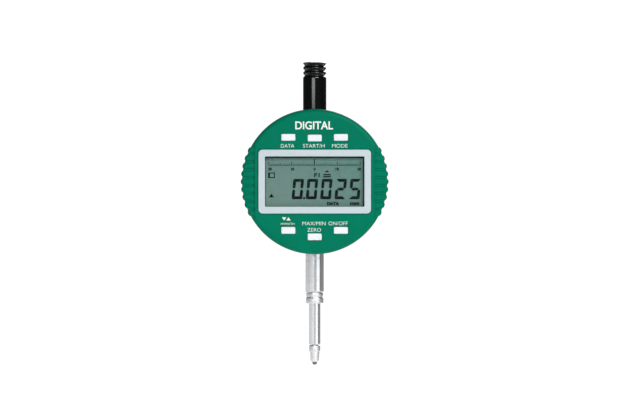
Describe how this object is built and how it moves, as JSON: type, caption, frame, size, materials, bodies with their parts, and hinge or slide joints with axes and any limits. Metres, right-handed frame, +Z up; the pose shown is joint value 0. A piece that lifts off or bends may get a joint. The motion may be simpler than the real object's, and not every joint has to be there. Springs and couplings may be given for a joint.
{
  "type": "digital dial indicator",
  "caption": "Round digital dial indicator with a turning display unit, push buttons, a sprung spindle with a ball contact, a plain clamping stem and a lifting cap.",
  "frame": {"origin": "middle of the stem's clamping length, on the spindle axis", "axes": "+Z up along the spindle axis towards the lifting cap, the display faces -Y, +X to the viewer's right"},
  "size_m": [0.065, 0.0292, 0.1345],
  "materials": {
    "green_plastic": "deep green moulded plastic, satin",
    "dark_plastic": "dark moulded plastic",
    "black_gloss": "polished black plastic",
    "silver_plastic": "silver-white satin lacquer",
    "white_rubber": "white moulded key tops",
    "clear_plastic": "clear acrylic pane",
    "lcd_grey": "grey-green reflective liquid crystal glass",
    "ground_steel": "ground and hardened steel",
    "dull_steel": "plain steel",
    "carbide": "polished carbide",
    "brass": "turned brass",
    "aluminium": "milled aluminium",
    "board_green": "circuit board with solder mask",
    "grey_rubber": "dark grey rubber",
    "slip_plastic": "white low-friction plastic",
    "amber_film": "polyimide film"
  },
  "bodies": {
    "rear_unit": {"rear_housing": "green_plastic", "back_cover": "green_plastic", "battery_tray": "dark_plastic", "port_connector": "dark_plastic", "stem": "ground_steel", "lower_bush": "ground_steel", "return_spring": "dull_steel", "spring_post": "dull_steel", "coin_cell": "dull_steel", "cell_contact_minus": "dull_steel", "cell_contact_plus": "dull_steel", "back_screw_1": "dull_steel", "back_screw_2": "dull_steel", "back_screw_3": "dull_steel", "back_screw_4": "dull_steel", "sensor_screw_1": "dull_steel", "sensor_screw_2": "dull_steel", "rail_screw_1": "dull_steel", "rail_screw_2": "dull_steel", "guide_tube": "brass", "guide_rail": "aluminium", "sensor_board": "board_green", "friction_ring": "slip_plastic", "flex_cable": "amber_film"},
    "face_unit": {"front_housing": "green_plastic", "display_bezel": "silver_plastic", "display_window": "clear_plastic", "lcd_panel": "lcd_grey", "lcd_holder": "slip_plastic", "zebra_strip_upper": "grey_rubber", "zebra_strip_lower": "grey_rubber", "main_board": "board_green", "turn_plate": "dark_plastic", "retaining_ring": "dull_steel", "plate_screw_1": "dull_steel", "plate_screw_2": "dull_steel", "plate_screw_3": "dull_steel", "plate_screw_4": "dull_steel", "data_switch": "dark_plastic", "start_switch": "dark_plastic", "mode_switch": "dark_plastic", "preset_switch": "dark_plastic", "zero_switch": "dark_plastic", "power_switch": "dark_plastic"},
    "spindle_unit": {"spindle": "ground_steel", "contact_point": "dull_steel", "contact_ball": "carbide", "lift_cap": "black_gloss", "stop_bumper": "grey_rubber", "scale_carrier": "aluminium", "scale_strip": "amber_film", "guide_pin": "dull_steel"},
    "lid": {"battery_lid": "green_plastic"},
    "side_cover": {"port_cover": "grey_rubber"},
    "data_key": {"data_button": "white_rubber"},
    "start_key": {"start_button": "white_rubber"},
    "mode_key": {"mode_button": "white_rubber"},
    "preset_key": {"preset_button": "white_rubber"},
    "zero_key": {"zero_button": "white_rubber"},
    "power_key": {"power_button": "white_rubber"}
  },
  "joints": [
    {"name": "face_turn", "type": "hinge", "parent": "rear_unit", "child": "face_unit", "pos_m": [0, -0.012, 0.04], "axis": [0, 1, 0], "range_deg": [-135, 135]},
    {"name": "spindle_slide", "type": "slide", "parent": "rear_unit", "child": "spindle_unit", "axis": [0, 0, 1], "range_m": [0, 0.0127], "stiffness_N_per_m": 30, "springref_m": -0.023, "deforming": ["return_spring"]},
    {"name": "battery_lid_lift", "type": "slide", "parent": "rear_unit", "child": "lid", "axis": [0, 1, 0], "range_m": [0, 0.012]},
    {"name": "port_cover_pull", "type": "slide", "parent": "rear_unit", "child": "side_cover", "axis": [1, 0, 0], "range_m": [0, 0.008]},
    {"name": "data_press", "type": "slide", "parent": "face_unit", "child": "data_key", "axis": [0, 1, 0], "range_m": [0, 0.0005], "stiffness_N_per_m": 800, "springref_m": -0.001},
    {"name": "start_press", "type": "slide", "parent": "face_unit", "child": "start_key", "axis": [0, 1, 0], "range_m": [0, 0.0005], "stiffness_N_per_m": 800, "springref_m": -0.001},
    {"name": "mode_press", "type": "slide", "parent": "face_unit", "child": "mode_key", "axis": [0, 1, 0], "range_m": [0, 0.0005], "stiffness_N_per_m": 800, "springref_m": -0.001},
    {"name": "preset_press", "type": "slide", "parent": "face_unit", "child": "preset_key", "axis": [0, 1, 0], "range_m": [0, 0.0005], "stiffness_N_per_m": 800, "springref_m": -0.001},
    {"name": "zero_press", "type": "slide", "parent": "face_unit", "child": "zero_key", "axis": [0, 1, 0], "range_m": [0, 0.0005], "stiffness_N_per_m": 800, "springref_m": -0.001},
    {"name": "power_press", "type": "slide", "parent": "face_unit", "child": "power_key", "axis": [0, 1, 0], "range_m": [0, 0.0005], "stiffness_N_per_m": 800, "springref_m": -0.001}
  ]
}
